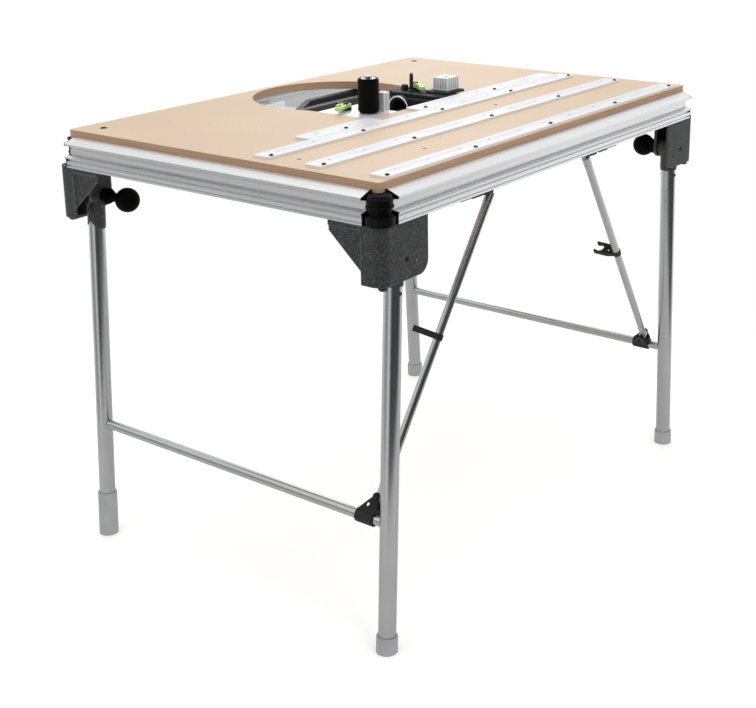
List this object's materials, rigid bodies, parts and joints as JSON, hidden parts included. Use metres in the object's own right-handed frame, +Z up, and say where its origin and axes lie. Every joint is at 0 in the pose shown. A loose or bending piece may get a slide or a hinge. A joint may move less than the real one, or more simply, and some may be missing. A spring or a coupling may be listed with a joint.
{
  "type": "folding router table",
  "caption": "Workshop router table: wooden top in an aluminium rail frame, router cut-out with guide roller, and folding tube legs with braces",
  "frame": {"origin": "on the floor, under the middle of the wooden top", "axes": "+X along the long side, +Y along the short side away from the braces, +Z up"},
  "size_m": [1.198, 0.852, 0.979],
  "materials": {
    "mdf": "light fibreboard, matt, browner at the cut edges",
    "rail": "anodised extrusion, satin, fine lines along its length",
    "corner": "black moulded plastic, satin",
    "bracket": "charcoal powder coat with a fine grain",
    "rubber": "black rubber",
    "dark_steel": "blackened steel",
    "strip": "bright anodised strip, satin",
    "screw": "dark screws",
    "clip": "black moulded plastic",
    "support": "plain steel bar",
    "plate": "bright machined plate",
    "tray": "light grey painted sheet",
    "beam": "dark grey painted steel",
    "machine": "black textured casting",
    "wire": "bright bent wire",
    "block": "ribbed aluminium, satin",
    "roller": "black roller, low sheen",
    "axle": "turned steel",
    "lever": "bright green plastic",
    "tube": "silver grey painted tube, satin",
    "head": "dark grey coated steel",
    "foot": "light grey moulded plastic",
    "knob": "black plastic ball, polished"
  },
  "bodies": {
    "frame": {"top_board": "mdf", "rail_front": "rail", "rail_back": "rail", "rail_left": "rail", "rail_right": "rail", "corner_a": "corner", "corner_b": "corner", "corner_c": "corner", "corner_d": "corner", "bracket_a": "bracket", "bracket_b": "bracket", "bracket_c": "bracket", "bracket_d": "bracket", "bracket_nubs": "rubber", "pivot_bolts": "dark_steel", "strip_1": "strip", "strip_2": "strip", "strip_3": "strip", "strips_short": "strip", "strip_screws": "screw", "brace_catch_l": "clip", "brace_catch_r": "clip", "insert_plate": "plate", "insert_support": "support", "insert_tray": "tray", "insert_beam": "beam", "machine_plate": "machine", "machine_head": "machine", "chip_hoop": "wire", "upright": "block", "ribbed_block": "block", "guide_pin": "dark_steel", "roller_axle": "axle", "clamp_bases": "clip"},
    "guide_roller_body": {"guide_roller": "roller"},
    "clamp_left": {"clamp_lever_l": "lever"},
    "clamp_right": {"clamp_lever_r": "lever"},
    "legs_left": {"leg_a": "tube", "leg_b": "tube", "leg_head_a": "head", "leg_head_b": "head", "cross_tube_l": "tube", "foot_b": "foot"},
    "legs_right": {"leg_c": "tube", "leg_d": "tube", "leg_head_c": "head", "leg_head_d": "head", "cross_tube_r": "tube", "feet_cd": "foot"},
    "levelling_foot": {"foot_a": "foot"},
    "brace_collar_left": {"collar_l": "clip"},
    "brace_collar_right": {"collar_r": "clip"},
    "brace_left": {"brace_l": "tube", "hook_l": "clip"},
    "brace_right": {"brace_r": "tube", "hook_r": "clip"},
    "knob_a_body": {"knob_a": "knob"},
    "knob_b_body": {"knob_b": "knob"},
    "knob_c_body": {"knob_c": "knob"},
    "knob_d_body": {"knob_d": "knob"}
  },
  "joints": [
    {"name": "leg_fold_left", "type": "hinge", "parent": "frame", "child": "legs_left", "pos_m": [-0.523, 0, 0.759], "axis": [0, -1, 0], "range_deg": [0, 82]},
    {"name": "leg_fold_right", "type": "hinge", "parent": "frame", "child": "legs_right", "pos_m": [0.523, 0, 0.759], "axis": [0, 1, 0], "range_deg": [0, 96.5]},
    {"name": "collar_turn_left", "type": "hinge", "parent": "legs_left", "child": "brace_collar_left", "pos_m": [-0.54894, 0, 0.25567], "axis": [0, -1, 0], "range_deg": [-90.25, 0]},
    {"name": "brace_swing_left", "type": "hinge", "parent": "brace_collar_left", "child": "brace_left", "pos_m": [-0.52959, -0.352, 0.29182], "axis": [-0.8816, 0, 0.4719], "range_deg": [0, 95.14]},
    {"name": "collar_turn_right", "type": "hinge", "parent": "legs_right", "child": "brace_collar_right", "pos_m": [0.54894, 0, 0.25567], "axis": [0, 1, 0], "range_deg": [-115.85, 0]},
    {"name": "brace_swing_right", "type": "hinge", "parent": "brace_collar_right", "child": "brace_right", "pos_m": [0.52351, -0.342, 0.28783], "axis": [-0.7845, 0, -0.6201], "range_deg": [0, 95.4]},
    {"name": "foot_level", "type": "slide", "parent": "legs_left", "child": "levelling_foot", "axis": [-0.0515, 0, -0.9987], "range_m": [0, 0.02]},
    {"name": "roller_spin", "type": "hinge", "parent": "frame", "child": "guide_roller_body", "pos_m": [-0.1, 0.002, 0.938], "axis": [0, 0, 1], "continuous": true},
    {"name": "clamp_turn_left", "type": "hinge", "parent": "frame", "child": "clamp_left", "pos_m": [-0.1, 0.064, 0.909], "axis": [0, 0, 1], "range_deg": [-75, 0]},
    {"name": "clamp_turn_right", "type": "hinge", "parent": "frame", "child": "clamp_right", "pos_m": [0.188, 0.095, 0.909], "axis": [0, 0, 1], "range_deg": [0, 90]},
    {"name": "knob_turn_a", "type": "hinge", "parent": "frame", "child": "knob_a_body", "pos_m": [-0.523, 0.31, 0.759], "axis": [0, 1, 0], "continuous": true},
    {"name": "knob_turn_b", "type": "hinge", "parent": "frame", "child": "knob_b_body", "pos_m": [-0.523, -0.31, 0.759], "axis": [0, -1, 0], "continuous": true},
    {"name": "knob_turn_c", "type": "hinge", "parent": "frame", "child": "knob_c_body", "pos_m": [0.523, -0.31, 0.759], "axis": [0, -1, 0], "continuous": true},
    {"name": "knob_turn_d", "type": "hinge", "parent": "frame", "child": "knob_d_body", "pos_m": [0.523, 0.31, 0.759], "axis": [0, 1, 0], "continuous": true}
  ],
  "couplings": [
    {"joint": "collar_turn_left", "follows": "leg_fold_left", "ratio": -1.1},
    {"joint": "brace_swing_left", "follows": "leg_fold_left", "ratio": 1.1597},
    {"joint": "collar_turn_right", "follows": "leg_fold_right", "ratio": -1.2},
    {"joint": "brace_swing_right", "follows": "leg_fold_right", "ratio": 0.98804}
  ]
}
